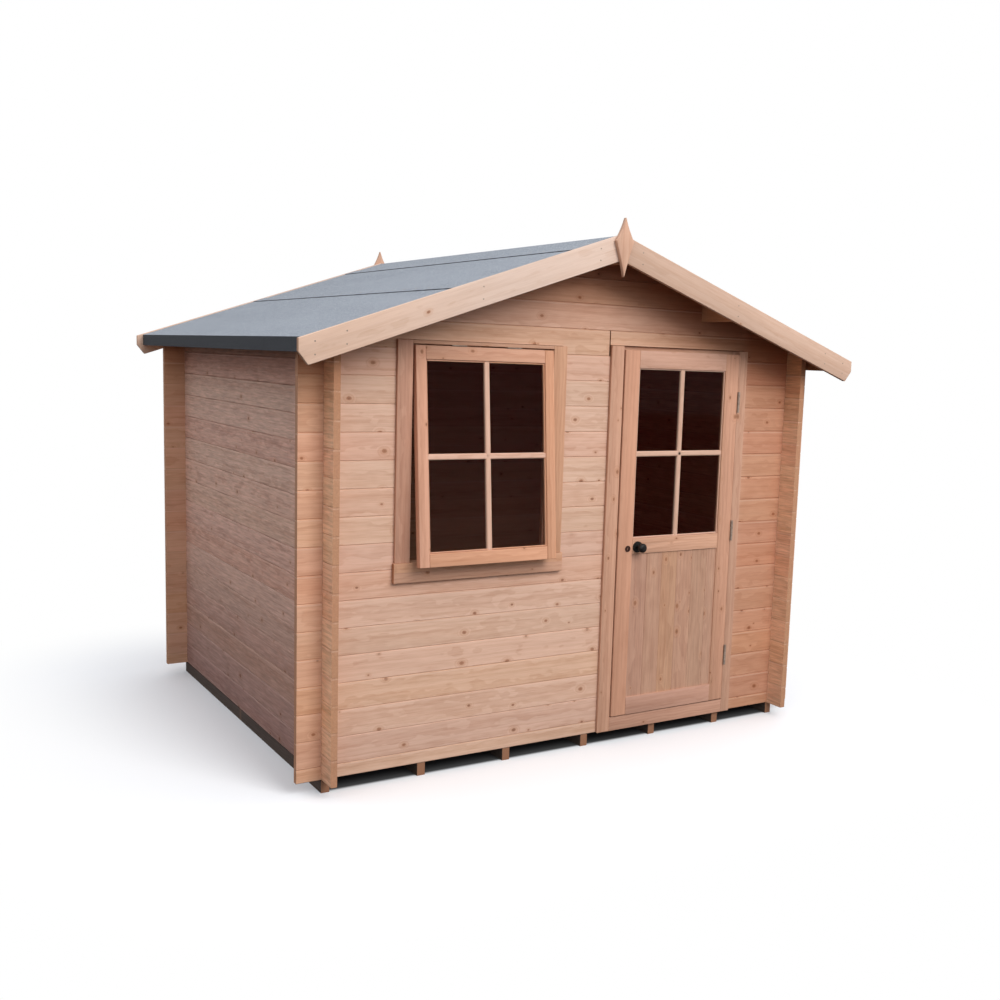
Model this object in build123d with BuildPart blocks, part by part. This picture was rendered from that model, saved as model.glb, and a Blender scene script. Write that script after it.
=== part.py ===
"""Garden log cabin: interlocking logs, a half-glazed door, a top-hung window and a felted roof.

The origin is the middle of the footprint at ground level. The front gable faces -Y, +X is to the
right seen from the front, and +Z is up. All sizes are in millimetres.
"""
import os
from math import cos, radians, tan

from build123d import *

os.makedirs("parts", exist_ok=True)

# Walls: machined logs laid in courses that cross at the corners
wall_width = 2470.0
wall_depth = 2080.0
log_height = 114.0
log_thickness = 28.0
log_overhang = 105.0
joint_chamfer = 3.0
side_courses = 16
butt_gap = 6.0
fit_gap = 0.5
cut_overrun = 10.0

# Base: bearers on the ground and a floor inside the walls
bearer_height = 56.0
bearer_width = 36.0
bearer_shares = (-1, -0.645, -0.3, 0.046, 0.371, 0.7, 1)
floor_thickness = 19.0
floor_gap = 4.0

# Roof: purlins, boards, felt strips, bargeboards and finials
roof_pitch = 19.2
eaves_overhang = 187.0
roof_overhang = 235.0
board_thickness = 19.0
ridge_gap = 2.0
purlin_width = 44.0
purlin_depth = 84.0
purlin_seat = 66.0
ridge_purlin_depth = 95.0
eaves_inset = 33.0
batten_width = 28.0
batten_depth = 34.0
felt_thickness = 3.0
felt_lap = 70.0
lower_seam = 830.0
ridge_seam = 245.0
bargeboard_depth = 105.0
bargeboard_thickness = 20.0
bargeboard_lip = 5.0
bargeboard_end = 50.0
bargeboard_clip = 38.0
finial_width = 92.0
finial_thickness = 20.0
finial_rise = 68.0
finial_shoulder = 32.0
finial_drop = 182.0
finial_hollow = 5.0

# Frames round the door and the window, grooved for the ends of the logs
opening_offset = 525.0
frame_width = 810.0
frame_proud = 16.0
frame_groove = 14.0
frame_face = 68.0
frame_gap = 2.0
stop_depth = 26.0
stop_width = 14.0

# Door leaf, hung on the right
door_height = 1816.0
threshold_height = 66.0
threshold_stop = 18.0
hinge_face = 52.0
leaf_gap = 5.0
leaf_thickness = 35.0
leaf_proud = 6.0
leaf_head_gap = 17.0
stile_width = 82.0
top_rail = 80.0
lock_rail = 73.0
lock_rail_height = 907.0
bottom_rail = 85.0
panel_thickness = 12.0
panel_recess = 6.0
glass_thickness = 4.0
glass_recess = 14.0

# Door furniture: three butt hinges, a knob on a spindle and keyhole covers
hinge_length = 100.0
hinge_radius = 5.5
hinge_pin_radius = 2.6
hinge_pin_gap = 0.2
hinge_flap = 2.2
hinge_flap_width = 24.0
hinge_knuckle_gap = 1.0
hinge_stand_off = 6.0
hinge_inset = 230.0
knob_setback = 111.0
knob_rise = 33.0
knob_radius = 21.5
knob_length = 32.0
knob_neck = 18.0
knob_neck_radius = 10.0
spindle_radius = 8.0
spindle_gap = 0.5
rose_radius = 26.5
rose_thickness = 5.0
knob_gap = 0.3
knob_flare = 12.0
knob_rim_chamfer = 8.0
keyhole_setback = 55.0
keyhole_drop = 6.0
keyhole_radius = 14.5
keyhole_cover = 3.0
keyhole_width = 4.0
keyhole_length = 13.0

# Window: frame, sill board and a sash that stands ajar
sill_base = 855.0
sill_height = 84.0
sill_proud = 22.0
sill_horn = 6.0
window_height = 1003.0
head_rail = 15.0
sash_gap = 7.0
sash_head_gap = 5.0
sash_height = 913.0
sash_stile = 45.0
sash_rail = 57.0
sash_angle = 5.0
sash_hinge_length = 70.0
sash_hinge_plate = 2.0
sash_hinge_reach = 22.0
sash_hinge_share = 0.3

# Places worked out from the sizes above
half_width = wall_width / 2
half_depth = wall_depth / 2
quarter = log_height / 4
slope = tan(radians(roof_pitch))
slope_cos = cos(radians(roof_pitch))
side_top = bearer_height + side_courses * log_height
roof_half_span = half_width + eaves_overhang
gable_half = half_width + log_overhang
front = -half_depth
wall_back = front + log_thickness
frame_front = front - frame_proud
frame_back = wall_back + frame_proud
gable_face = half_depth + roof_overhang
board_end = gable_face - bargeboard_thickness


def under_boards(x):
    """Height of the underside of the roof boards at a distance x from the ridge."""
    return side_top + (half_width - abs(x)) * slope


def over_boards(x):
    """Height of the top of the roof boards at a distance x from the ridge."""
    return under_boards(x) + board_thickness / slope_cos


def course_base(course):
    """Height of the bottom of a front or rear log; course 0 is the half log at the base."""
    if course == 0:
        return bearer_height
    return bearer_height + log_height / 2 + (course - 1) * log_height


def inner_face(outer):
    """Place of a log's inner face, a log's thickness nearer the middle than its outer face."""
    return outer - log_thickness if outer > 0 else outer + log_thickness


def log_profile(outer, low, high):
    """Outline of a log's end, with the edges of its outer face chamfered to make the V joints."""
    inner = inner_face(outer)
    set_back = outer + joint_chamfer * (inner - outer) / log_thickness
    return [
        (outer, high - joint_chamfer),
        (outer, low + joint_chamfer),
        (set_back, low),
        (inner, low),
        (inner, high),
        (set_back, high),
    ]


def add_box(x_span, y_span, z_span, mode=Mode.ADD):
    """Adds a box between the given limits to the part in hand, or takes it out."""
    with BuildSketch(Plane.XY.offset(z_span[0])) as base:
        with Locations(((x_span[0] + x_span[1]) / 2, (y_span[0] + y_span[1]) / 2)):
            Rectangle(x_span[1] - x_span[0], y_span[1] - y_span[0])
    extrude(base.sketch, amount=z_span[1] - z_span[0], mode=mode)


def cut_box(x_span, y_span, z_span):
    """Takes a box between the given limits out of the part in hand."""
    add_box(x_span, y_span, z_span, Mode.SUBTRACT)


def add_slab(points, y_low, y_high):
    """Adds an upright slab, drawn as an outline in X and Z and carried from y_low to y_high."""
    with BuildSketch(Plane.XZ.offset(-y_high)) as outline:
        with BuildLine():
            Polyline(*points, close=True)
        make_face()
    extrude(outline.sketch, amount=y_high - y_low)


def crossing(outer):
    """Limits of the notch that takes the logs of a crossing wall with its outer face there."""
    way = fit_gap if outer > 0 else -fit_gap
    return sorted((outer + way, inner_face(outer) - way))


def past(outer):
    """Limits of a cut that goes right through the thickness of a wall with its outer face there."""
    near, far = sorted((outer, inner_face(outer)))
    return near - cut_overrun, far + cut_overrun


def end_wall_log(course, start, end, outer_y):
    """One log of the front or rear wall from x = start to x = end, notched at the corners."""
    low = course_base(course)
    high = course_base(course + 1)
    with BuildPart() as log:
        with BuildSketch(Plane.YZ.offset(start)):
            with BuildLine():
                Polyline(*log_profile(outer_y, low, high), close=True)
            make_face()
        extrude(amount=end - start)
        for corner in (-half_width, half_width):
            notch = crossing(corner)
            if start < notch[0] and notch[1] < end:
                if course > 0:
                    cut_box(notch, past(outer_y), (low - cut_overrun, low + quarter))
                cut_box(notch, past(outer_y), (high - quarter, high + cut_overrun))
    return log.part


def side_log(course, side):
    """One log of a side wall, notched where the front and rear logs cross; the top one is bevelled."""
    low = bearer_height + course * log_height
    high = low + log_height
    outer = side * half_width
    outline = log_profile(outer, low, high)
    if course == side_courses - 1:
        inner = inner_face(outer)
        outline = [(outer, under_boards(outer)), *outline[1:4], (inner, under_boards(inner))]
    length = wall_depth + 2 * log_overhang
    with BuildPart() as log:
        with BuildSketch(Plane.XZ.offset(-length / 2)):
            with BuildLine():
                Polyline(*outline, close=True)
            make_face()
        extrude(amount=length)
        for corner in (-half_depth, half_depth):
            cut_box(past(outer), crossing(corner), (low - cut_overrun, low + quarter))
            cut_box(past(outer), crossing(corner), (high - quarter, high + log_height))
    return log.part


# Base
with BuildPart() as floor_bearers:
    for share in bearer_shares:
        bearer_middle = share * (half_width - bearer_width / 2)
        add_box(
            (bearer_middle - bearer_width / 2, bearer_middle + bearer_width / 2),
            (-half_depth, half_depth),
            (0, bearer_height),
        )

floor_x = half_width - log_thickness - floor_gap
floor_y = half_depth - log_thickness - floor_gap
with BuildPart() as floor_boards:
    add_box((-floor_x, floor_x), (-floor_y, floor_y), (bearer_height, bearer_height + floor_thickness))
    cut_box(
        (opening_offset - frame_width / 2 - floor_gap, opening_offset + frame_width / 2 + floor_gap),
        (-floor_y - cut_overrun, frame_back + floor_gap),
        (0, bearer_height + floor_thickness + cut_overrun),
    )

# Side walls, with the odd and even courses apart so that the logs of one node do not touch
odd_sides = range(1, side_courses, 2)
even_sides = range(0, side_courses, 2)
with BuildPart() as left_wall_odd_logs:
    for course in odd_sides:
        add(side_log(course, -1))
with BuildPart() as left_wall_even_logs:
    for course in even_sides:
        add(side_log(course, -1))
with BuildPart() as right_wall_odd_logs:
    for course in odd_sides:
        add(side_log(course, 1))
with BuildPart() as right_wall_even_logs:
    for course in even_sides:
        add(side_log(course, 1))

# Rear wall up to the gable
odd_courses = range(1, side_courses, 2)
even_courses = range(0, side_courses, 2)
with BuildPart() as rear_wall_odd_logs:
    for course in odd_courses:
        add(end_wall_log(course, -gable_half, gable_half, half_depth))
with BuildPart() as rear_wall_even_logs:
    for course in even_courses:
        add(end_wall_log(course, -gable_half, gable_half, half_depth))

# Front wall: each course stops in the grooves of the door frame and the window frame
door_left = opening_offset - frame_width / 2
door_right = opening_offset + frame_width / 2
window_left = -opening_offset - frame_width / 2
window_right = -opening_offset + frame_width / 2
log_stop = frame_groove - fit_gap
sill_course = int((sill_base - course_base(1)) // log_height) + 1


def front_course(course):
    """The logs of one course of the front wall, cut short at the window and the door."""
    right = end_wall_log(course, door_right - log_stop, gable_half, front)
    if course <= sill_course:
        left = end_wall_log(course, -gable_half, door_left + log_stop, front)
        if course < sill_course:
            return [left, right]
        with BuildPart() as notched:
            add(left)
            cut_box(
                (window_left + log_stop, window_right - log_stop),
                past(front),
                (sill_base, course_base(course + 1) + cut_overrun),
            )
        return [notched.part, right]
    left = end_wall_log(course, -gable_half, window_left + log_stop, front)
    middle = end_wall_log(course, window_right - log_stop, door_left + log_stop, front)
    return [left, middle, right]


with BuildPart() as front_wall_odd_logs:
    for course in odd_courses:
        add(front_course(course))
with BuildPart() as front_wall_even_logs:
    for course in even_courses:
        add(front_course(course))

# Gables: logs cut to the roof slope, with pockets for the purlins; the top log runs on to the peak
eaves_log_base = course_base(side_courses)
purlin_log_base = eaves_log_base + log_height
door_head = bearer_height + door_height
window_head = sill_base + window_height


def slope_at(height):
    """Distance from the ridge at which the underside of the boards is at a given height."""
    return half_width - (height - side_top) / slope


purlin_base = purlin_log_base + purlin_seat
purlin_inner = slope_at(purlin_base + purlin_depth)
purlin_outer = purlin_inner + purlin_width
pocket_inner = purlin_inner - fit_gap
pocket_outer = purlin_outer + fit_gap
ridge_purlin_base = under_boards(0) - ridge_purlin_depth
ridge_edge = purlin_width / 2
ridge_pocket = ridge_edge + fit_gap
gable_courses = int((under_boards(ridge_pocket) - eaves_log_base) // log_height)


def mirrored(points):
    """An outline given from its foot to its top on the right, closed with its mirror image."""
    return points + [(-x, z) for x, z in reversed(points) if x > 0]


def gable_outline(row):
    """Outline of a gable log in X and Z; row 0 sits on the side walls and row 1 carries the purlins."""
    low = eaves_log_base + row * log_height
    high = low + log_height
    if row == 0:
        right = [(gable_half, low), (gable_half, under_boards(gable_half)), (slope_at(high), high)]
    elif row == 1:
        right = [
            (slope_at(low), low),
            (pocket_outer, under_boards(pocket_outer)),
            (pocket_outer, purlin_base),
            (pocket_inner, purlin_base),
            (pocket_inner, high),
        ]
    else:
        top = (slope_at(high), high) if row < gable_courses - 1 else (0, under_boards(0))
        if pocket_inner < slope_at(low):
            right = [(pocket_inner, low), (pocket_inner, under_boards(pocket_inner)), top]
        else:
            right = [(slope_at(low), low), top]
    return mirrored(right)


def gable_log(row, outer_y):
    """One gable log with chamfered joints, notched over the side walls or under the ridge purlin."""
    with BuildPart() as log:
        add_slab(gable_outline(row), *sorted((outer_y, inner_face(outer_y))))
        outer_edges = log.edges().filter_by(Axis.X).group_by(Axis.Y)[0 if outer_y < 0 else -1]
        joints = outer_edges.group_by(Axis.Z)
        chamfer(joints[0] if len(joints) == 1 else joints[0] + joints[-1], joint_chamfer)
        if row == 0:
            for corner in (-half_width, half_width):
                seat = (eaves_log_base - cut_overrun, eaves_log_base + quarter)
                cut_box(crossing(corner), past(outer_y), seat)
        if row == gable_courses - 1:
            over_ridge = under_boards(0) + cut_overrun
            cut_box((-ridge_pocket, ridge_pocket), past(outer_y), (ridge_purlin_base, over_ridge))
    return log.part


even_rows = range(0, gable_courses, 2)
odd_rows = range(1, gable_courses, 2)
under_gable = eaves_log_base - cut_overrun


def clear_frames():
    """Cuts the front gable logs clear of the heads of the window frame and the door frame."""
    window_notch = (window_left + log_stop, window_right - log_stop)
    cut_box(window_notch, past(front), (under_gable, window_head + frame_gap))
    cut_box((door_left, door_right - log_stop), past(front), (under_gable, door_head + frame_gap))


with BuildPart() as front_gable_even_logs:
    for row in even_rows:
        add(gable_log(row, front))
    clear_frames()
    over_log = purlin_log_base + cut_overrun
    cut_box((door_left - butt_gap, door_left), past(front), (under_gable, over_log))
with BuildPart() as front_gable_odd_logs:
    for row in odd_rows:
        add(gable_log(row, front))
    clear_frames()
with BuildPart() as rear_gable_even_logs:
    for row in even_rows:
        add(gable_log(row, half_depth))
with BuildPart() as rear_gable_odd_logs:
    for row in odd_rows:
        add(gable_log(row, half_depth))

# Roof: three purlins, then boards on both slopes and a batten under each eave
with BuildPart() as roof_purlins:
    ridge_right = [
        (ridge_edge, ridge_purlin_base),
        (ridge_edge, under_boards(ridge_edge)),
        (0, under_boards(0)),
    ]
    add_slab(mirrored(ridge_right), -board_end, board_end)
    for side in (-1, 1):
        add_slab(
            [
                (side * purlin_inner, purlin_base),
                (side * purlin_outer, purlin_base),
                (side * purlin_outer, under_boards(purlin_outer)),
                (side * purlin_inner, under_boards(purlin_inner)),
            ],
            -board_end,
            board_end,
        )

eaves = roof_half_span - eaves_inset


def roof_board_slab(side):
    """The outline of the boards of one slope, from the ridge to the eave."""
    start = ridge_gap / 2
    return [
        (side * start, under_boards(start)),
        (side * eaves, under_boards(eaves)),
        (side * eaves, over_boards(eaves)),
        (side * start, over_boards(start)),
    ]


with BuildPart() as left_roof_boards:
    add_slab(roof_board_slab(-1), -board_end, board_end)
with BuildPart() as right_roof_boards:
    add_slab(roof_board_slab(1), -board_end, board_end)

batten_base = under_boards(eaves) - batten_depth
with BuildPart() as eaves_battens:
    for side in (-1, 1):
        add_slab(
            [
                (side * (eaves - batten_width), batten_base),
                (side * eaves, batten_base),
                (side * eaves, under_boards(eaves)),
                (side * (eaves - batten_width), under_boards(eaves - batten_width)),
            ],
            -board_end,
            board_end,
        )

# Felt: two strips on each slope that lap like shingles, and a strip over the ridge
felt_rise = felt_thickness / slope_cos
lower_seam_x = lower_seam * slope_cos
lap_x = felt_lap * slope_cos
ridge_seam_x = ridge_seam * slope_cos


def on_felt(x, layers):
    """Height of the top of a number of layers of felt on the boards."""
    return over_boards(x) + layers * felt_rise


with BuildPart() as lower_felt_strips:
    for side in (-1, 1):
        top_x = lower_seam_x - lap_x
        add_slab(
            [
                (side * top_x, on_felt(top_x, 0)),
                (side * eaves, on_felt(eaves, 0)),
                (side * eaves, batten_base),
                (side * (eaves + felt_thickness), batten_base),
                (side * (eaves + felt_thickness), on_felt(eaves + felt_thickness, 1)),
                (side * top_x, on_felt(top_x, 1)),
            ],
            -board_end,
            board_end,
        )


def lapped_strip(side, top_x, step_x, seam_x):
    """A strip that lies on the layer below it and then steps over the strip further down."""
    return [
        (side * top_x, on_felt(top_x, 0)),
        (side * step_x, on_felt(step_x, 0)),
        (side * step_x, on_felt(step_x, 1)),
        (side * seam_x, on_felt(seam_x, 1)),
        (side * seam_x, on_felt(seam_x, 2)),
        (side * (step_x - felt_thickness), on_felt(step_x - felt_thickness, 2)),
        (side * (step_x - felt_thickness), on_felt(step_x - felt_thickness, 1)),
        (side * top_x, on_felt(top_x, 1)),
    ]


with BuildPart() as upper_felt_strips:
    for side in (-1, 1):
        add_slab(
            lapped_strip(side, ridge_seam_x - lap_x, lower_seam_x - lap_x, lower_seam_x),
            -board_end,
            board_end,
        )

with BuildPart() as ridge_felt_strip:
    ridge_lap = lapped_strip(1, 0, ridge_seam_x - lap_x, ridge_seam_x)
    add_slab(mirrored(ridge_lap), -board_end, board_end)


def barge_top(x):
    """Height of the top edge of a bargeboard, just above the felt."""
    return on_felt(x, 1) + bargeboard_lip


barge_drop = bargeboard_depth / slope_cos


def bargeboard(side, y_low):
    """One bargeboard: plumb cut at the ridge and at the eave, with its lower corner clipped."""
    start = ridge_gap / 2
    clip_x = roof_half_span - bargeboard_clip
    add_slab(
        [
            (side * start, barge_top(start)),
            (side * roof_half_span, barge_top(roof_half_span)),
            (side * roof_half_span, barge_top(roof_half_span) - bargeboard_end),
            (side * clip_x, barge_top(clip_x) - barge_drop),
            (side * start, barge_top(start) - barge_drop),
        ],
        y_low,
        y_low + bargeboard_thickness,
    )


with BuildPart() as front_bargeboards:
    for side in (-1, 1):
        bargeboard(side, -gable_face)
with BuildPart() as rear_bargeboards:
    for side in (-1, 1):
        bargeboard(side, gable_face - bargeboard_thickness)

finial_tip = barge_top(0) + finial_rise
finial_side = barge_top(0) - finial_shoulder
finial_foot = barge_top(0) - finial_drop


def finial(y_low):
    """A diamond-shaped board with hollow sides, planted over the joint of the bargeboards."""
    edge = finial_width / 2
    with BuildSketch(Plane.XZ.offset(-y_low - finial_thickness)) as outline:
        with BuildLine():
            corners = [(0, finial_tip), (edge, finial_side), (0, finial_foot), (-edge, finial_side)]
            for begin, finish in zip(corners, corners[1:] + corners[:1]):
                middle = (Vector(*begin) + Vector(*finish)) / 2
                inward = (Vector(0, finial_side) - middle).normalized()
                ThreePointArc(begin, middle + inward * finial_hollow, finish)
        make_face()
    extrude(outline.sketch, amount=finial_thickness)


with BuildPart() as front_finial:
    finial(-gable_face - finial_thickness)
with BuildPart() as rear_finial:
    finial(gable_face)

# Door frame: grooved jambs with a stop behind the leaf, a head behind the leaf's top and a threshold
jamb_base = bearer_height
leaf_front = frame_front - leaf_proud
leaf_back = leaf_front + leaf_thickness
stop_front = leaf_back + leaf_gap
latch_edge = door_left + frame_face
hinge_edge = door_right - hinge_face
groove_span = (front - fit_gap, wall_back + fit_gap)


def jamb(outer, inner, base, top, stop_y):
    """An upright of a frame: a groove takes the logs and a stop stands behind the moving leaf."""
    way = 1 if inner > outer else -1
    add_box(sorted((outer, inner)), (frame_front, frame_back), (base, top))
    add_box(sorted((inner, inner + way * stop_width)), (stop_y, frame_back), (base, top))
    cut_box(
        sorted((outer - way * cut_overrun, outer + way * frame_groove)),
        groove_span,
        (base - cut_overrun, top + cut_overrun),
    )


with BuildPart() as door_latch_jamb:
    jamb(door_left, latch_edge, jamb_base, door_head, stop_front)
with BuildPart() as door_hinge_jamb:
    jamb(door_right, hinge_edge, jamb_base, door_head, stop_front)

leaf_top = door_head - leaf_head_gap
head_base = leaf_top - stop_width - leaf_gap
with BuildPart() as door_head_rail:
    add_box(
        (latch_edge + stop_width, hinge_edge - stop_width), (stop_front, frame_back), (head_base, door_head)
    )

threshold_top = jamb_base + threshold_height
with BuildPart() as door_threshold:
    add_box((latch_edge, hinge_edge), (frame_front, stop_front), (jamb_base, threshold_top))
    add_box(
        (latch_edge + stop_width, hinge_edge - stop_width),
        (stop_front, frame_back),
        (jamb_base, threshold_top + threshold_stop),
    )

# Door leaf: stiles and rails round a board panel below and glass above
leaf_base = threshold_top + leaf_gap
leaf_left = latch_edge + leaf_gap
leaf_right = hinge_edge - leaf_gap
stile_inner = leaf_left + stile_width
hinge_stile_inner = leaf_right - stile_width
leaf_depth = (leaf_front, leaf_back)
knob_x = leaf_left + knob_setback
knob_height = lock_rail_height + knob_rise

with BuildPart() as door_stiles:
    add_box((leaf_left, stile_inner), leaf_depth, (leaf_base, leaf_top))
    add_box((hinge_stile_inner, leaf_right), leaf_depth, (leaf_base, leaf_top))

panel_span = (stile_inner, hinge_stile_inner)
lock_rail_top = lock_rail_height + lock_rail
with BuildPart() as door_rails:
    add_box(panel_span, leaf_depth, (leaf_base, leaf_base + bottom_rail))
    add_box(panel_span, leaf_depth, (leaf_top - top_rail, leaf_top))
    add_box(panel_span, leaf_depth, (lock_rail_height, lock_rail_top))
    with BuildSketch(Plane.XZ.offset(-leaf_back)):
        with Locations((knob_x, knob_height)):
            Circle(spindle_radius + spindle_gap)
    extrude(amount=leaf_thickness, mode=Mode.SUBTRACT)

with BuildPart() as door_panel:
    panel_front = leaf_front + panel_recess
    add_box(
        panel_span, (panel_front, panel_front + panel_thickness), (leaf_base + bottom_rail, lock_rail_height)
    )
with BuildPart() as door_glass:
    glass_front = leaf_front + glass_recess
    add_box(panel_span, (glass_front, glass_front + glass_thickness), (lock_rail_top, leaf_top - top_rail))

# Butt hinges: the middle knuckle turns with the leaf, the outer two and the pin stay on the jamb
hinge_x = (leaf_right + hinge_edge) / 2
hinge_y = leaf_front - hinge_stand_off
hinge_heights = (leaf_base + hinge_inset, (leaf_base + leaf_top) / 2, leaf_top - hinge_inset)
knuckle = hinge_length / 3
flap_end = leaf_front + hinge_flap_width


def knuckle_at(low, high, radius, mode=Mode.ADD):
    """A round length on the hinge axis."""
    with BuildSketch(Plane.XY.offset(low)) as disc:
        with Locations((hinge_x, hinge_y)):
            Circle(radius)
    extrude(disc.sketch, amount=high - low, mode=mode)


with BuildPart() as door_hinge_barrels:
    for height in hinge_heights:
        barrel_low = height - knuckle / 2 + hinge_knuckle_gap
        barrel_high = height + knuckle / 2 - hinge_knuckle_gap
        knuckle_at(barrel_low, barrel_high, hinge_radius)
        add_box((leaf_right, leaf_right + hinge_flap), (hinge_y, flap_end), (barrel_low, barrel_high))
        knuckle_at(barrel_low, barrel_high, hinge_pin_radius + hinge_pin_gap, Mode.SUBTRACT)

with BuildPart() as door_hinge_pins:
    for height in hinge_heights:
        for low, high in (
            (height - hinge_length / 2, height - knuckle / 2),
            (height + knuckle / 2, height + hinge_length / 2),
        ):
            knuckle_at(low, high, hinge_radius)
            add_box((hinge_edge - hinge_flap, hinge_edge), (hinge_y, flap_end), (low, high))
        knuckle_at(height - knuckle / 2, height + knuckle / 2, hinge_pin_radius)

# Door knob on both faces, turning on its spindle inside two roses, and keyhole covers
outer_rose = leaf_front - rose_thickness
inner_rose = leaf_back + rose_thickness
outer_neck = outer_rose - knob_gap
inner_neck = inner_rose + knob_gap

with BuildPart() as door_knob_roses:
    for base in (leaf_front, inner_rose):
        with BuildSketch(Plane.XZ.offset(-base)):
            with Locations((knob_x, knob_height)):
                Circle(rose_radius)
                Circle(spindle_radius + spindle_gap, mode=Mode.SUBTRACT)
        extrude(amount=rose_thickness)

with BuildPart() as door_knob:
    with BuildSketch(Plane(origin=(knob_x, 0, knob_height), x_dir=(1, 0, 0), z_dir=(0, 0, 1))) as knob_half:
        with BuildLine():
            for neck, way in ((outer_neck, -1), (inner_neck, 1)):
                ball = neck + way * knob_neck
                crown = ball + way * knob_length
                rim_back = (knob_radius, ball + way * knob_flare)
                rim_front = (knob_radius, crown - way * knob_rim_chamfer)
                face_rim = (knob_radius - knob_rim_chamfer, crown)
                collar = [(spindle_radius, neck), (knob_neck_radius, neck), (knob_neck_radius, ball)]
                Polyline(*collar, rim_back, rim_front, face_rim, (0, crown))
            knob_reach = knob_neck + knob_length
            Line((spindle_radius, outer_neck), (spindle_radius, inner_neck))
            Line((0, outer_neck - knob_reach), (0, inner_neck + knob_reach))
        make_face()
    revolve(knob_half.sketch, axis=Axis((knob_x, 0, knob_height), (0, 1, 0)))

keyhole_x = leaf_left + keyhole_setback
keyhole_z = knob_height - keyhole_drop
with BuildPart() as keyhole_covers:
    for base in (leaf_front, leaf_back + keyhole_cover):
        with BuildSketch(Plane.XZ.offset(-base)):
            with Locations((keyhole_x, keyhole_z)):
                Circle(keyhole_radius)
                Rectangle(keyhole_width, keyhole_length, mode=Mode.SUBTRACT)
        extrude(amount=keyhole_cover)

# Window frame: jambs on a sill board, and a head with a stop behind the sash
sill_top = sill_base + sill_height
window_jamb_inner = window_left + frame_face
window_jamb_right = window_right - frame_face
sash_back = leaf_back
sash_stop = sash_back + leaf_gap
with BuildPart() as window_jambs:
    jamb(window_left, window_jamb_inner, sill_top, window_head, sash_stop)
    jamb(window_right, window_jamb_right, sill_top, window_head, sash_stop)

with BuildPart() as window_sill:
    add_box((window_left, window_right), (front, frame_back), (sill_base, sill_top))
    nosing = (window_left - sill_horn, window_right + sill_horn)
    add_box(nosing, (front - sill_proud, front), (sill_base, sill_top))
    for outer, way in ((window_left, 1), (window_right, -1)):
        cut_box(
            sorted((outer - way * cut_overrun, outer + way * frame_groove)),
            (front, wall_back + fit_gap),
            (sill_base - cut_overrun, sill_top + cut_overrun),
        )

head_bottom = window_head - head_rail
with BuildPart() as window_head_rail:
    add_box((window_jamb_inner, window_jamb_right), (frame_front, sash_stop), (head_bottom, window_head))
    add_box(
        (window_jamb_inner + stop_width, window_jamb_right - stop_width),
        (sash_stop, frame_back),
        (head_bottom - stop_depth, window_head),
    )

# Sash: drawn shut, then swung out about the hinges along its top edge
sash_top = head_bottom - sash_head_gap
sash_base = sash_top - sash_height
sash_left = window_jamb_inner + sash_gap
sash_right = window_jamb_right - sash_gap
sash_depth = (leaf_front, sash_back)
sash_hinge_line = Axis((0, leaf_front, sash_top), (1, 0, 0))
pane_x = (sash_left + sash_stile, sash_right - sash_stile)
pane_z = (sash_base + sash_rail, sash_top - sash_rail)


def swung(shut):
    """A piece of the sash, turned with it from shut to ajar."""
    with BuildPart() as piece:
        add(shut.rotate(sash_hinge_line, -sash_angle))
    return piece


with BuildPart() as shut_stiles:
    add_box((sash_left, pane_x[0]), sash_depth, (sash_base, sash_top))
    add_box((pane_x[1], sash_right), sash_depth, (sash_base, sash_top))
with BuildPart() as shut_rails:
    add_box(pane_x, sash_depth, (sash_base, pane_z[0]))
    add_box(pane_x, sash_depth, (pane_z[1], sash_top))
with BuildPart() as shut_pane:
    pane_front = leaf_front + glass_recess
    add_box(pane_x, (pane_front, pane_front + glass_thickness), pane_z)

window_sash_stiles = swung(shut_stiles.part)
window_sash_rails = swung(shut_rails.part)
window_glass = swung(shut_pane.part)

# Window hinges: a plate under the head and a plate on the sash, joined by the knuckle between them
sash_width = sash_right - sash_left
knuckle_radius = sash_head_gap / 2
plate_depth = (leaf_front - knuckle_radius, leaf_front + sash_hinge_reach)


def sash_plate(span):
    """The plate of a window hinge that lies on the top edge of the sash."""
    with BuildPart() as plate:
        add_box(span, (leaf_front, leaf_front + sash_hinge_reach), (sash_top, sash_top + sash_hinge_plate))
    return plate.part.rotate(sash_hinge_line, -sash_angle)


with BuildPart() as window_hinges:
    for share in (sash_hinge_share, 1 - sash_hinge_share):
        hinge_middle = sash_left + share * sash_width
        hinge_span = (hinge_middle - sash_hinge_length / 2, hinge_middle + sash_hinge_length / 2)
        add(sash_plate(hinge_span))
        add_box(hinge_span, plate_depth, (head_bottom - sash_hinge_plate, head_bottom))
        with BuildSketch(Plane.YZ.offset(hinge_span[0])):
            with Locations((leaf_front - knuckle_radius / 2, sash_top + knuckle_radius)):
                Circle(knuckle_radius)
        extrude(amount=sash_hinge_length)

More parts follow.
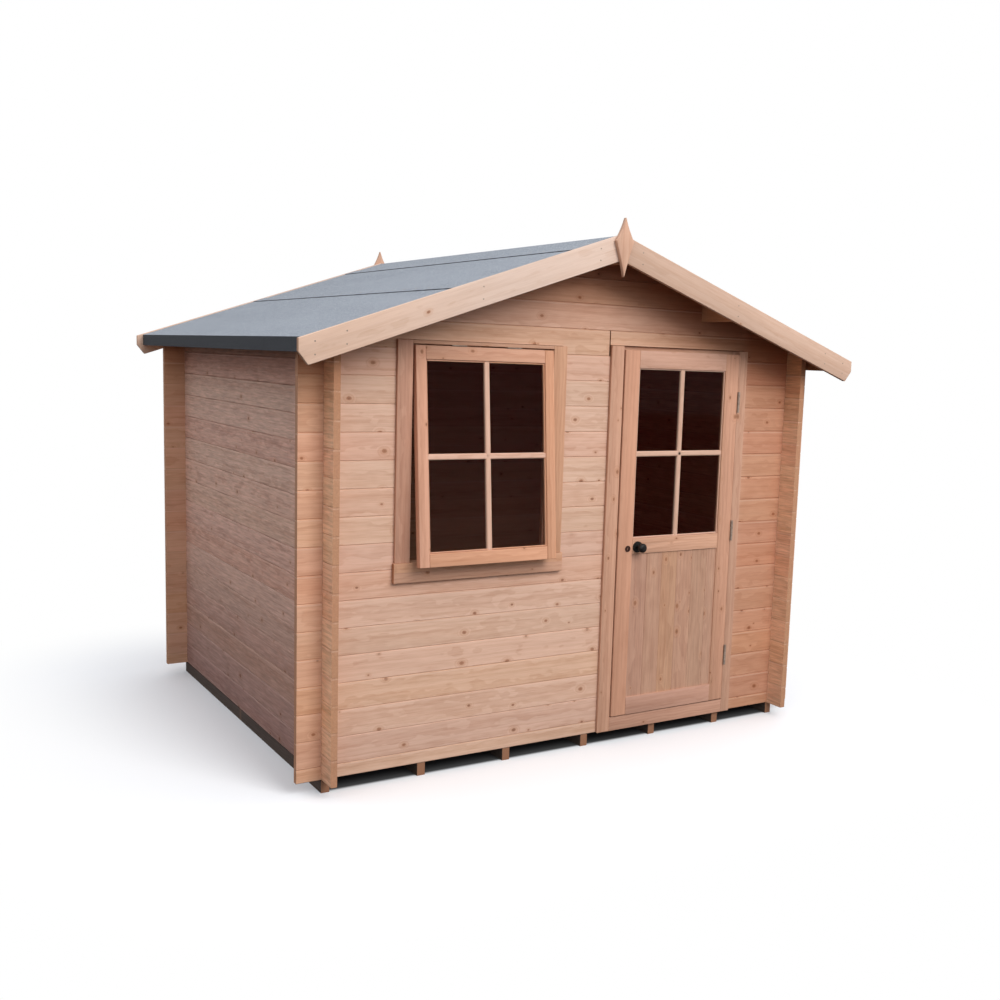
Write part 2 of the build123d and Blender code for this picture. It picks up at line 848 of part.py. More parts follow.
nodes = {
    "floor_bearers": floor_bearers,
    "floor_boards": floor_boards,
    "left_wall_odd_logs": left_wall_odd_logs,
    "left_wall_even_logs": left_wall_even_logs,
    "right_wall_odd_logs": right_wall_odd_logs,
    "right_wall_even_logs": right_wall_even_logs,
    "rear_wall_odd_logs": rear_wall_odd_logs,
    "rear_wall_even_logs": rear_wall_even_logs,
    "front_wall_odd_logs": front_wall_odd_logs,
    "front_wall_even_logs": front_wall_even_logs,
    "front_gable_even_logs": front_gable_even_logs,
    "front_gable_odd_logs": front_gable_odd_logs,
    "rear_gable_even_logs": rear_gable_even_logs,
    "rear_gable_odd_logs": rear_gable_odd_logs,
    "roof_purlins": roof_purlins,
    "left_roof_boards": left_roof_boards,
    "right_roof_boards": right_roof_boards,
    "eaves_battens": eaves_battens,
    "lower_felt_strips": lower_felt_strips,
    "upper_felt_strips": upper_felt_strips,
    "ridge_felt_strip": ridge_felt_strip,
    "front_bargeboards": front_bargeboards,
    "rear_bargeboards": rear_bargeboards,
    "front_finial": front_finial,
    "rear_finial": rear_finial,
    "door_latch_jamb": door_latch_jamb,
    "door_hinge_jamb": door_hinge_jamb,
    "door_head_rail": door_head_rail,
    "door_threshold": door_threshold,
    "door_stiles": door_stiles,
    "door_rails": door_rails,
    "door_panel": door_panel,
    "door_glass": door_glass,
    "door_hinge_barrels": door_hinge_barrels,
    "door_hinge_pins": door_hinge_pins,
    "door_knob": door_knob,
    "door_knob_roses": door_knob_roses,
    "keyhole_covers": keyhole_covers,
    "window_jambs": window_jambs,
    "window_sill": window_sill,
    "window_head_rail": window_head_rail,
    "window_sash_stiles": window_sash_stiles,
    "window_sash_rails": window_sash_rails,
    "window_glass": window_glass,
    "window_hinges": window_hinges,
}
for name, node in nodes.items():
    node.part.label = name
    export_step(node.part, f"parts/{name}.step")
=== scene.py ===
import math

import bpy
from mathutils import Matrix, Vector


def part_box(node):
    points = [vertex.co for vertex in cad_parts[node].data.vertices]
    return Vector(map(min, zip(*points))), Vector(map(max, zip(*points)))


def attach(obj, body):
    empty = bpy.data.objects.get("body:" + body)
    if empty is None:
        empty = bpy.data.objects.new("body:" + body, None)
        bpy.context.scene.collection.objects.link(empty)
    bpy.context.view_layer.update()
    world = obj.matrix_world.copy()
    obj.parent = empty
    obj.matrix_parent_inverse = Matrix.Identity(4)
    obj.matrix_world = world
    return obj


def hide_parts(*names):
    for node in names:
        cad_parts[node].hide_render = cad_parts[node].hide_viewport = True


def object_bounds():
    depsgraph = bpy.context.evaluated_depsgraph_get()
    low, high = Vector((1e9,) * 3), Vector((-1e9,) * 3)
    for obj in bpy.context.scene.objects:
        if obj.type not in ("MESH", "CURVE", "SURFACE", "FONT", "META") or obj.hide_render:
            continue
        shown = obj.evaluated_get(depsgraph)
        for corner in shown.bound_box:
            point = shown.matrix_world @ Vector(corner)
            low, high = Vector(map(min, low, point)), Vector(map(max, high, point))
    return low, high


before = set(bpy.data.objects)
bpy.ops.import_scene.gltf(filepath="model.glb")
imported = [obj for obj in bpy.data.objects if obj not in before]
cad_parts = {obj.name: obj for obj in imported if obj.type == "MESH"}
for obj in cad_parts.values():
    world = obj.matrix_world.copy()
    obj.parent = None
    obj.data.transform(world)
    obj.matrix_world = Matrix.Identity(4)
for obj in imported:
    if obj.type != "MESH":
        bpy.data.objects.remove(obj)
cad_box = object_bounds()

# Floor bearers: seven sawn softwood battens laid on the ground from front to back. The walls and the
# floor stand on them. Their dark grey brown is partly the wood's own and partly painted shade from above.


class Shade:
    """One output socket of a material. Arithmetic on its values adds Math nodes to the tree."""

    def __init__(self, tree, socket=None):
        self.tree = tree
        self.socket = socket

    def node(self, kind, settings=None, inputs=None, output=0):
        """Adds a node, sets it up, then gives its sockets values or links and wraps one output."""
        made = self.tree.nodes.new("ShaderNode" + kind)
        for name, setting in (settings or {}).items():
            if name == "stops":
                for _ in setting[2:]:
                    made.color_ramp.elements.new(1)
                for stop, (position, colour) in zip(made.color_ramp.elements, setting):
                    stop.position = position
                    stop.color = colour
            else:
                setattr(made, name, setting)
        for name, given in (inputs or {}).items():
            if isinstance(given, Shade):
                self.tree.links.new(given.socket, made.inputs[name])
            else:
                made.inputs[name].default_value = given
        return Shade(self.tree, made.outputs[output] if made.outputs else None)

    def maths(self, operation, *others):
        """A Math node on this value and others."""
        return self.node("Math", {"operation": operation}, dict(enumerate((self, *others))))

    def __add__(self, other):
        return self.maths("ADD", other)

    __radd__ = __add__

    def __sub__(self, other):
        return self.maths("SUBTRACT", other)

    def __rsub__(self, other):
        return self.node("Math", {"operation": "SUBTRACT"}, {0: other, 1: self})

    def __mul__(self, other):
        return self.maths("MULTIPLY", other)

    __rmul__ = __mul__

    def __truediv__(self, other):
        return self.maths("DIVIDE", other)

    def rise(self, low, high):
        """0 below low, 1 above high, and a smooth step between them."""
        settings = {"interpolation_type": "SMOOTHSTEP"}
        return self.node("MapRange", settings, {"Value": self, "From Min": low, "From Max": high})

    def parts(self):
        """The three values of a vector or a colour."""
        return [self.node("SeparateXYZ", inputs={0: self}, output=part) for part in range(3)]

    def vector(self, x, y, z):
        """A vector made of three values."""
        return self.node("CombineXYZ", inputs={0: x, 1: y, 2: z})

    def noise(self, detail=2.0, scale=1.0):
        """Noise at this place, with so many cells a unit."""
        return self.node("TexNoise", inputs={"Vector": self, "Scale": scale, "Detail": detail})

    def mix(self, first, second, blend="MIX"):
        """A colour between two, by this factor."""
        settings = {"data_type": "RGBA", "blend_type": blend}
        return self.node("Mix", settings, {0: self, 6: first, 7: second}, 2)


def new_material(name):
    """An empty material and a place to start its nodes from."""
    material = bpy.data.materials.new(name)
    material.use_nodes = True
    material.node_tree.nodes.clear()
    return material, Shade(material.node_tree)


def surface(start, inputs, *bump):
    """Ends a material in one Principled shader. A bump is a height, its strength and its depth in metres."""
    if bump:
        height, strength, depth = bump
        raised = {"Strength": strength, "Distance": depth, "Height": height}
        inputs["Normal"] = height.node("Bump", inputs=raised)
    shader = start.node("BsdfPrincipled", inputs=inputs)
    shader.node("OutputMaterial", inputs={"Surface": shader})


def linear(red, green, blue):
    """A colour written in screen values, as the shader takes it."""
    shares = [value / 255 for value in (red, green, blue)]
    return (*[s / 12.92 if s <= 0.04045 else ((s + 0.055) / 1.055) ** 2.4 for s in shares], 1.0)


# What all the cabin's softwood shares: sizes in metres, the shape of a knot, and colours
knot_least, knot_range = 0.00261, 0.00638
knot_width_to_length = 0.72
pith_near, pith_range = 0.02, 0.07
stem_drift = 0.05
ring_ripple = 0.006
fibre_depth = 0.0012
dark_knot = linear(104, 66, 48)
red_knot = linear(156, 104, 74)
round_knot = linear(184, 130, 96)
end_pale = linear(176, 124, 92)
end_late = linear(142, 92, 62)
joint_dust_and_shade = linear(104, 70, 54)
arris_highlight_colour = linear(236, 204, 182)


def timber(
    name, run, pale, late, first, pitch,
    knots_per_metre=4.2, ring=0.0042, spread=0.07, flecks=0.1, joint=0.0, dust_and_shade=0.16, tints=None,
):
    """Softwood sawn from a round stem. run turns X, Y and Z into the grain's length, the width of the
    boards and their depth. Boards of width pitch start at first, each with its own stem, tone and knots.
    ring is a year's growth, spread the range of tones and flecks the strength of short streaks. joint is
    the reach of a joint darkened by dust and painted shade, with a painted highlight on the arris below it;
    dust_and_shade is how dark the joint gets, and tints gives masks with the colours they multiply by."""
    material, start = new_material(name)
    x, y, z = start.node("TexCoord", output="Object").parts()
    length, width, depth = run(x, y, z)
    board = ((width - first) / pitch).maths("FLOOR")
    local = width - first - (board + 0.5) * pitch
    seed = {"W": board * 1.37 + 0.21}
    tone, pith, shift = board.node("TexWhiteNoise", {"noise_dimensions": "1D"}, seed, "Color").parts()

    def figure(along, across, detail=3.0, offset=0.0):
        """Noise drawn out by the grain, with so many cells a metre along it and across it."""
        return start.vector(length * along + offset, width * across, depth * across).noise(detail)

    # Knots: one in most cells along a board, oval, dark, with the rings bent round them
    cell = start.vector(length * knots_per_metre + shift * 91, board * 3 + local / pitch, 0.0)
    spots = {"voronoi_dimensions": "2D"}
    centre = cell.node("TexVoronoi", spots, {"Vector": cell, "Scale": 1.0}, "Position")
    size, here, turn = cell.node("TexVoronoi", spots, {"Vector": cell, "Scale": 1.0}, "Color").parts()
    away = cell.node("VectorMath", {"operation": "SUBTRACT"}, {0: cell, 1: centre})
    metres = {0: away, 1: (knot_width_to_length / knots_per_metre, pitch, 0.0)}
    away = away.node("VectorMath", {"operation": "MULTIPLY"}, metres)
    reach = away.node("VectorMath", {"operation": "LENGTH"}, {0: away}, "Value")
    ragged = figure(160, 160, 2.0)
    reach = reach / (size * knot_range + knot_least) + ragged * 0.5 - 0.25
    present = here.rise(0.4, 0.44)
    heart = (1 - reach.rise(0.75, 1.15)) * present
    halo = (1 - reach.rise(0.9, 3.4)) * present

    # Growth rings round a pith behind the face, wandering along the stem
    drift = start.vector(length * 1.3 + shift * 40, board * 7, 0.0).noise() - 0.5
    ripple = figure(9, 22, 2.0, shift * 40) - 0.5
    across = local + (pith - 0.5) * pitch * 1.1 + drift * stem_drift
    inward = depth + pith_near + tone * pith_range
    radius = (across * across + inward * inward).maths("SQRT")
    turns = (radius + ripple * ring_ripple) / ring + halo * 1.6 + shift * 9
    wave = turns.maths("FRACT")
    latewood = wave.rise(0.35, 0.9) * (1 - wave.rise(0.93, 1.0))

    # Colour: fibres and streaks between the pale and the late wood, then each board's tone, then knots
    fibre = figure(14, 420)
    cloud = figure(2.1, 11, offset=shift * 30)
    streak = figure(2.4, 85, offset=shift * 30)
    fleck = figure(11, 130, offset=shift * 30)
    grain = latewood * 0.32 + fibre.rise(0.42, 0.72) * 0.3 + streak.rise(0.4, 0.7) * 0.35
    value = 1 - spread / 2 + tone * spread + (cloud - 0.5) * 0.2 + (fleck - 0.5) * flecks
    hue = {"Hue": 0.496 + pith * 0.008, "Saturation": 0.95 + shift * 0.1, "Value": value}
    colour = grain.node("HueSaturation", inputs={**hue, "Color": grain.mix(pale, late)})
    colour = (halo * 0.3).mix(colour, round_knot)
    knot_colour = (reach + turn * 0.4).rise(0.1, 0.9).mix(dark_knot, red_knot)
    colour = (heart * 0.78).mix(colour, knot_colour)
    for where, tint in tints(x, y, z) if tints else []:
        colour = where.mix(colour, (*tint, 1.0), "MULTIPLY")

    # End grain drinks more and is darker; an open joint is darkened with dust and painted shade, and the
    # arris below it gets a painted highlight
    end = run(*start.node("TexCoord", output="Normal").parts())[0].maths("ABSOLUTE").rise(0.6, 0.85)
    colour = (end * 0.75).mix(colour, latewood.mix(end_pale, end_late))
    if joint:
        edge = pitch / 2 - local.maths("ABSOLUTE")
        settled_dust_and_shade = figure(4, 2).rise(0.3, 0.7) * dust_and_shade
        colour = ((1 - edge.rise(0.0, joint)) * settled_dust_and_shade).mix(colour, joint_dust_and_shade)
        # Painted highlight: the upper arris band of each board is lightened as if it caught the light
        arris = edge.rise(joint, joint * 1.3) * (1 - edge.rise(joint * 2.2, joint * 3.2))
        arris_highlight = arris * local.maths("GREATER_THAN", 0.0) * streak.rise(0.3, 0.65)
        colour = (arris_highlight * 0.3).mix(colour, arris_highlight_colour)
    relief = fibre * 0.5 + latewood * 0.5 - heart * 0.6
    inputs = {"Base Color": colour, "Roughness": 0.58 + fibre * 0.22, "Specular IOR Level": 0.28}
    surface(start, inputs, relief, 0.28, fibre_depth)
    return material


def dress(material, *names):
    """Gives solids of the frame a finish."""
    for name in names:
        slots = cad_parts[name].data.materials
        slots.clear()
        slots.append(material)


def front_to_back(x, y, z):
    """Grain of a bearer, purlin or batten, with its width level."""
    return y, x, z


bearer_step = 0.2
bearer_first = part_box("floor_bearers")[0].x
# Both bearer colours are darkened past the wood's own to stand for the shade under the cabin: painted shade.
bearer_pale_with_shade = linear(88, 74, 66)
bearer_late_with_shade = linear(64, 52, 46)
bearer_wood = timber("bearer_timber", front_to_back, bearer_pale_with_shade, bearer_late_with_shade, bearer_first, bearer_step)
dress(bearer_wood, "floor_bearers")

# Floor: planed tongued boards nailed across the bearers inside the walls. Each board has eased top
# edges, so the joints show as fine dark grooves through the door.


def pick_none():
    """Leaves nothing selected, because operators act on all that is."""
    if bpy.context.object and bpy.context.object.mode != "OBJECT":
        bpy.ops.object.mode_set(mode="OBJECT")
    bpy.ops.object.select_all(action="DESELECT")


def block(name, low, high):
    """A squared length of material between two corners, in its final place."""
    pick_none()
    low, high = Vector(low), Vector(high)
    bpy.ops.mesh.primitive_cube_add(size=1.0, location=(low + high) / 2)
    piece = bpy.context.object
    piece.name = name
    piece.scale = high - low
    bpy.ops.object.transform_apply(location=True, rotation=True, scale=True)
    return piece


def pick_edges(piece, wanted):
    """Goes into edit mode with the edges selected whose middle and direction pass a test."""
    pick_none()
    bpy.context.view_layer.objects.active = piece
    piece.select_set(True)
    bpy.ops.object.mode_set(mode="EDIT")
    bpy.ops.mesh.select_mode(type="EDGE")
    bpy.ops.mesh.select_all(action="DESELECT")
    bpy.ops.object.mode_set(mode="OBJECT")
    points = piece.data.vertices
    for edge in piece.data.edges:
        one, two = (points[index].co for index in edge.vertices)
        edge.select = bool(wanted((one + two) / 2, (two - one).normalized()))
    bpy.ops.object.mode_set(mode="EDIT")


def bevel_edges(piece, wanted, width, segments=2):
    """Bevels the chosen edges of a piece in edit mode."""
    pick_edges(piece, wanted)
    bpy.ops.mesh.bevel(offset=width, segments=segments, affect="EDGES")
    bpy.ops.object.mode_set(mode="OBJECT")


def apply_modifier(piece, kind, **settings):
    """Adds a modifier to a piece and applies it."""
    pick_none()
    bpy.context.view_layer.objects.active = piece
    piece.select_set(True)
    modifier = piece.modifiers.new(kind.title(), kind)
    for name, setting in settings.items():
        setattr(modifier, name, setting)
    bpy.ops.object.modifier_apply(modifier=modifier.name)


def repeat(piece, count, step):
    """Copies a piece along a step, as one mesh."""
    settings = {"use_relative_offset": False, "use_constant_offset": True, "constant_offset_displace": step}
    apply_modifier(piece, "ARRAY", count=count, **settings)


def finish_piece(piece, material, body, slot, *nodes):
    """Gives a new piece its finish and its body, and lets it stand for solids of the frame."""
    piece.data.materials.clear()
    piece.data.materials.append(material)
    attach(piece, body)
    if nodes:
        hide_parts(*nodes)


def left_to_right(x, y, z):
    """Grain of a floor board, with its width level."""
    return x, y, z


# An edge runs lengthwise when at least this share of it lies along the piece
lengthwise = 0.9
floor_low, floor_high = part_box("floor_boards")
floor_middle = (floor_low.z + floor_high.z) / 2
floor_count = 18
floor_step = (floor_high.y - floor_low.y) / floor_count
floor_gap = 0.0008
floor_arris = 0.003
floor_end = (floor_high.x, floor_low.y + floor_step - floor_gap, floor_high.z)
planks = block("floor_planks", floor_low, floor_end)
bevel_edges(planks, lambda at, way: abs(way.x) > lengthwise and at.z > floor_middle, floor_arris, 1)
repeat(planks, floor_count, (0.0, floor_step, 0.0))

# The front boards are sawn back to clear the door frame
frame_gap = 0.004
frame_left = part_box("door_latch_jamb")[0].x - frame_gap
frame_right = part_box("door_hinge_jamb")[1].x + frame_gap
frame_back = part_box("door_threshold")[1].y + frame_gap
sawn_back = block(
    "sawn_back",
    (frame_left, floor_low.y - floor_step, floor_low.z - floor_step),
    (frame_right, frame_back, floor_high.z + floor_step),
)
apply_modifier(planks, "BOOLEAN", operation="DIFFERENCE", object=sawn_back, solver="EXACT")
bpy.data.objects.remove(sawn_back)

floor_joint = 0.0025
floor_pale = linear(208, 164, 128)
floor_late = linear(180, 129, 92)
floor_wood = timber(
    "floor_timber", left_to_right, floor_pale, floor_late, floor_low.y, floor_step, joint=floor_joint
)
finish_piece(planks, floor_wood, "cabin", "floor_timber", "floor_boards")

# Walls: machined pine logs, raw and pinkish tan, with a V joint between courses. They cross at the
# corners, where each log runs past the other wall and shows its darker end grain.
log_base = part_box("left_wall_even_logs")[0].z
log_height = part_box("left_wall_odd_logs")[0].z - log_base
log_joint = 0.0034
half_width = -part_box("left_wall_even_logs")[0].x
half_depth = -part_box("front_wall_even_logs")[0].y
wall_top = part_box("left_wall_odd_logs")[1].z
inside = 0.01

# The underside of the right roof slope, which the gable logs meet
at_ridge = 0.001
boards_low, boards_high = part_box("right_roof_boards")
slope_corners = [corner.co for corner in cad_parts["right_roof_boards"].data.vertices]
ridge_corners = [corner for corner in slope_corners if corner.x < boards_low.x + at_ridge]
ridge_under = min(corner.z for corner in ridge_corners)
roof_slope = (ridge_under - boards_low.z) / (boards_high.x - boards_low.x)

# Where the painted shade and light on the walls, and the indoor tint, begin and end
end_crossing_x = (1.2, 1.25)
side_crossing_y = (0.99, 1.04)
front_half_y = (-0.5, 0.0)
by_door_shade_x = (0.86, 0.98)
under_roof_shade_z = (1.75, 2.2)
peak_shade_z = (1.95, 2.25)
right_slope_shade_x = (0.1, 0.6)
right_slope_shade_depth = 0.45
crossing_top_z = (1.4, 1.8)
ground_shade_z = (0.05, 1.0)
eave_from, eave_to = 0.34, 0.08
under_eave_shade_z = (wall_top - eave_from, wall_top - eave_to)
crossing_top_shade = (0.8, 0.68, 0.56)
indoor_tint = (0.92, 0.76, 0.62)


def end_wall_tints(x, y, z):
    """Painted shade makes a gable wall darker and redder under the roof, near the peak, under the right
    slope, beside the door and on top of the crossing logs, and painted warm bounce tints the crossing logs.
    Indoors, where rain and sun don't reach, it stays redder.
    """
    crossing = x.maths("ABSOLUTE").rise(*end_crossing_x)
    indoors = (half_depth - inside - y.maths("ABSOLUTE")).rise(0.0, inside) * (1 - crossing)
    front = 1 - y.rise(*front_half_y)
    by_door_shade = x.rise(*by_door_shade_x) * front * (1 - crossing)
    under_roof_shade = z.rise(*under_roof_shade_z).maths("MAXIMUM", by_door_shade) * (1 - indoors)
    peak_shade = z.rise(*peak_shade_z) * (1 - indoors)
    below_boards = ridge_under - x * roof_slope - z
    right_slope_shade = (1 - below_boards.rise(0.0, right_slope_shade_depth)) * x.rise(*right_slope_shade_x) * front * (1 - indoors)
    # Painted shade under the overhang, near the peak, under the right slope and beside the door; painted warm
    # bounce and shade on the crossing logs
    return [
        (under_roof_shade, (0.83, 0.65, 0.54)),
        (peak_shade, (0.94, 0.85, 0.82)),
        (right_slope_shade, (0.74, 0.54, 0.42)),
        (crossing, (1.01, 0.9, 0.8)),
        (crossing * z.rise(*crossing_top_z), crossing_top_shade),
        (indoors, indoor_tint),
    ]


def side_wall_tints(x, y, z):
    """The same for a side wall: painted bounce light on the crossing logs at both ends and painted shade on
    their tops, redder indoors. Painted shade darkens its foot near the ground and its top under the eave.
    """
    crossing = y.maths("ABSOLUTE").rise(*side_crossing_y)
    indoors = (half_width - inside - x.maths("ABSOLUTE")).rise(0.0, inside) * (1 - crossing)
    face = (1 - indoors) * (1 - crossing)
    ground_shade = (1 - z.rise(*ground_shade_z)) * face
    under_eave_shade = z.rise(*under_eave_shade_z) * face
    # Painted light on the crossing logs; painted shade on their tops, at the foot and under the eave
    return [
        (crossing, (1.3, 1.26, 1.03)),
        (crossing * z.rise(*crossing_top_z), crossing_top_shade),
        (indoors, indoor_tint),
        (ground_shade, (0.58, 0.54, 0.58)),
        (under_eave_shade, (0.66, 0.53, 0.48)),
    ]


def along_x(x, y, z):
    """Grain of a level board that runs left to right, with its width upright."""
    return x, z, y


def along_y(x, y, z):
    """Grain of a level board that runs front to back, with its width upright."""
    return y, z, x


end_first = log_base + log_height / 2
end_log_pale = linear(216, 176, 152)
end_log_late = linear(191, 145, 118)
end_wall_wood = timber(
    "front_and_rear_logs", along_x, end_log_pale, end_log_late, end_first, log_height,
    joint=log_joint, tints=end_wall_tints,
)
side_log_pale = linear(210, 168, 148)
side_log_late = linear(180, 133, 112)
side_wall_wood = timber(
    "side_logs", along_y, side_log_pale, side_log_late, log_base, log_height,
    knots_per_metre=2.6, flecks=0.9, joint=log_joint, dust_and_shade=0.5, tints=side_wall_tints,
)
for rank in ("odd", "even"):
    dress(side_wall_wood, f"left_wall_{rank}_logs", f"right_wall_{rank}_logs")
    for end in ("front", "rear"):
        dress(end_wall_wood, f"{end}_wall_{rank}_logs", f"{end}_gable_{rank}_logs")

# Roof timbers: a ridge purlin and two side purlins let into the gables, and a batten under each eave.
# They are planed pine, seen from below in the shade of the roof, and coloured darker than pine: painted
# shade.
purlin_step = 0.3
# Painted shade: these roof colours, also used for the roof boards, are darker and redder than the pine's own
roof_pale_shaded = linear(196, 150, 114)
roof_late_shaded = linear(168, 116, 82)
purlin_wood = timber("roof_timber", front_to_back, roof_pale_shaded, roof_late_shaded, cad_box[0].x, purlin_step)
dress(purlin_wood, "roof_purlins", "eaves_battens")

# Roof boards: tongued boards nailed to the purlins and walls, running down each slope. Their lower
# edges are eased, so that the underside of the overhang shows a V joint between boards.
roof_angle = math.atan(roof_slope)
board_count = 27
board_step = (boards_high.y - boards_low.y) / board_count
board_gap = 0.0006
board_arris = 0.004
board_joint = 0.003
board_overrun = 0.05
board_top = max(corner.z for corner in slope_corners)
board_length = (boards_high.x - boards_low.x) / math.cos(roof_angle)
board_thickness = (board_top - ridge_under) * math.cos(roof_angle)
board_middle = -board_thickness / 2
half_turn = Matrix.Rotation(math.pi, 4, "Z")


def cut_plumb(piece, x, keep_right):
    """Saws a piece upright across X and keeps one side."""
    pick_edges(piece, lambda at, way: True)
    waste = {"clear_inner": keep_right, "clear_outer": not keep_right}
    bpy.ops.mesh.bisect(plane_co=(x, 0.0, 0.0), plane_no=(1.0, 0.0, 0.0), use_fill=True, **waste)
    bpy.ops.object.mode_set(mode="OBJECT")


def place(piece, matrix):
    """Moves and turns a piece, and keeps the move in its mesh."""
    pick_none()
    bpy.context.view_layer.objects.active = piece
    piece.select_set(True)
    piece.matrix_world = matrix
    bpy.ops.object.transform_apply(location=True, rotation=True, scale=True)


def down_slope(x, y, z):
    """Grain of a roof board, which runs from the ridge to the eave."""
    return x, y, z + x.maths("ABSOLUTE") * roof_slope


plank_wood = timber(
    "roof_plank", down_slope, roof_pale_shaded, roof_late_shaded, boards_low.y, board_step, joint=board_joint
)
for side in ("right", "left"):
    plank = block(
        f"{side}_roof_planks",
        (-board_overrun, boards_low.y + board_gap, -board_thickness),
        (board_length + board_overrun, boards_low.y + board_step - board_gap, 0.0),
    )
    bevel_edges(plank, lambda at, way: abs(way.x) > lengthwise and at.z < board_middle, board_arris, 1)
    place(plank, Matrix.Translation((boards_low.x, 0.0, board_top)) @ Matrix.Rotation(roof_angle, 4, "Y"))
    cut_plumb(plank, boards_low.x, True)
    cut_plumb(plank, boards_high.x, False)
    repeat(plank, board_count, (0.0, board_step, 0.0))
    if side == "left":
        place(plank, half_turn)
    finish_piece(plank, plank_wood, "cabin", "roof_timber", f"{side}_roof_boards")

# Felt: strips of bitumen felt faced with slate coloured mineral, lapped down each slope and over the
# ridge and turned down at the eaves. The granules sparkle a little and the sheet is not quite even.
grit_per_metre = 420.0
clumps_per_metre = 60.0
scuffs_per_metre = 17.0
bitumen_width = 0.016
felt_depth = 0.0016
clump_colour = linear(118, 124, 133)
roll_colour = linear(158, 162, 169)
scuff_colour = linear(112, 116, 122)
bitumen_colour = linear(62, 63, 68)
turned_down_shade_colour = linear(42, 42, 46)
grit_colours = [
    (0.0, linear(106, 111, 119)),
    (0.45, linear(139, 144, 152)),
    (0.8, linear(157, 162, 169)),
    (1.0, linear(188, 192, 197)),
]
felt, start = new_material("mineral_felt")
spot = start.node("TexCoord", output="Object")
x, y, z = spot.parts()
grit = spot.node("TexVoronoi", inputs={"Vector": spot, "Scale": grit_per_metre}, output="Color").parts()[0]
clumps = spot.noise(4.0, clumps_per_metre).rise(0.35, 0.68)
rolls = start.vector(x * 5, y * 1.2, z * 5).noise(3.0).rise(0.3, 0.72)
scuffs = spot.noise(5.0, scuffs_per_metre).rise(0.58, 0.75)
felt_colour = grit.node("ValToRGB", {"stops": grit_colours}, {"Fac": grit})
felt_colour = (clumps * 0.32).mix(felt_colour, clump_colour)
felt_colour = (rolls * 0.3).mix(felt_colour, roll_colour)
felt_colour = (scuffs * 0.25).mix(felt_colour, scuff_colour)

# A broken line of bitumen is squeezed out along each lap
from_ridge = x.maths("ABSOLUTE")
upper_lap = (from_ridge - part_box("upper_felt_strips")[1].x).maths("ABSOLUTE")
ridge_lap = (from_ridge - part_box("ridge_felt_strip")[1].x).maths("ABSOLUTE")
bitumen_edge = start.vector(x * 9, y * 38, z * 9).noise(3.0) * bitumen_width
squeezed = 1 - (upper_lap.maths("MINIMUM", ridge_lap) - bitumen_edge).rise(-0.006, 0.001)
broken = start.vector(x * 4, y * 17, z * 4).noise(3.0).rise(0.4, 0.6) * 0.5
felt_colour = (squeezed * broken).mix(felt_colour, bitumen_colour)
# Painted shade: the felt turned down at the eaves faces sideways and is darkened almost to black
turned_down_shade = start.node("TexCoord", output="Normal").parts()[0].maths("ABSOLUTE").rise(0.6, 0.9)
felt_colour = (turned_down_shade * 0.9).mix(felt_colour, turned_down_shade_colour)
felt_relief = grit * 0.7 + clumps * 0.6 + rolls * 1.5
felt_inputs = {"Base Color": felt_colour, "Roughness": 0.78 + grit * 0.18, "Specular IOR Level": 0.35}
surface(start, felt_inputs, felt_relief, 0.5, felt_depth)
dress(felt, "lower_felt_strips", "upper_felt_strips", "ridge_felt_strip")

# Clout nails: short galvanised steel nails with broad flat heads. They are driven in a row through each
# lap of the felt into the roof boards.
clout_radius = 0.005
clout_height = 0.0014
clout_step = 0.12
clout_inset = 0.03
lap_layers = 2
nail_sides = 12
nail_top_share = 0.9
nail_round_share = 0.45
felt_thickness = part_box("lower_felt_strips")[1].x - boards_high.x


def nail_head(name, radius, height, matrix):
    """The head of one nail, standing on a surface that the matrix lays down."""
    pick_none()
    middle = (0.0, 0.0, height / 2)
    bpy.ops.mesh.primitive_cylinder_add(vertices=nail_sides, radius=radius, depth=height, location=middle)
    head = bpy.context.object
    head.name = name
    bevel_edges(head, lambda at, way: at.z > height * nail_top_share, height * nail_round_share)
    place(head, matrix)
    return head


def joined(name, pieces):
    """Pieces made one."""
    pick_none()
    for piece in pieces:
        piece.select_set(True)
    bpy.context.view_layer.objects.active = pieces[0]
    bpy.ops.object.join()
    bpy.context.object.name = name
    return bpy.context.object


def copied(name, mesh):
    """A new piece with its own copy of a mesh."""
    piece = bpy.data.objects.new(name, mesh.copy())
    bpy.context.scene.collection.objects.link(piece)
    return piece


def metal(name, dark, light, patches, metallic, roughness, bump, detail=3.0, share=(0.35, 0.7)):
    """Metal in two tones, with so many patches a metre that differ in gloss and height."""
    material, start = new_material(name)
    patch = start.node("TexCoord", output="Object").noise(detail, patches)
    colour = patch.rise(*share).mix(dark, light)
    inputs = {"Base Color": colour, "Metallic": metallic, "Roughness": roughness + patch * 0.2}
    surface(start, inputs, patch, *bump)
    return material


def felt_top(x, layers):
    """Height of the felt over the right slope."""
    return board_top - (x - boards_low.x) * roof_slope + layers * felt_thickness / math.cos(roof_angle)


clout_count = int((boards_high.y - boards_low.y - 2 * clout_inset) // clout_step) + 1
clout_first = -clout_step * (clout_count - 1) / 2
clout_rows = []
for lap in ("upper_felt_strips", "ridge_felt_strip"):
    lap_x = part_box(lap)[1].x - clout_inset
    driven_at = Matrix.Translation((lap_x, clout_first, felt_top(lap_x, lap_layers)))
    laid = driven_at @ Matrix.Rotation(roof_angle, 4, "Y")
    clout_rows.append(nail_head("clout", clout_radius, clout_height, laid))
for row in clout_rows:
    repeat(row, clout_count, (0.0, clout_step, 0.0))
right_clouts = joined("right_clout_nails", clout_rows)
left_clouts = copied("left_clout_nails", right_clouts.data)
place(left_clouts, half_turn)
zinc = metal(
    "zinc_plate", linear(136, 131, 125), linear(172, 166, 159),
    patches=160.0, metallic=0.6, roughness=0.45, bump=(0.1, 0.0005),
)
for piece in (right_clouts, left_clouts):
    finish_piece(piece, zinc, "cabin", "hinge_steel")

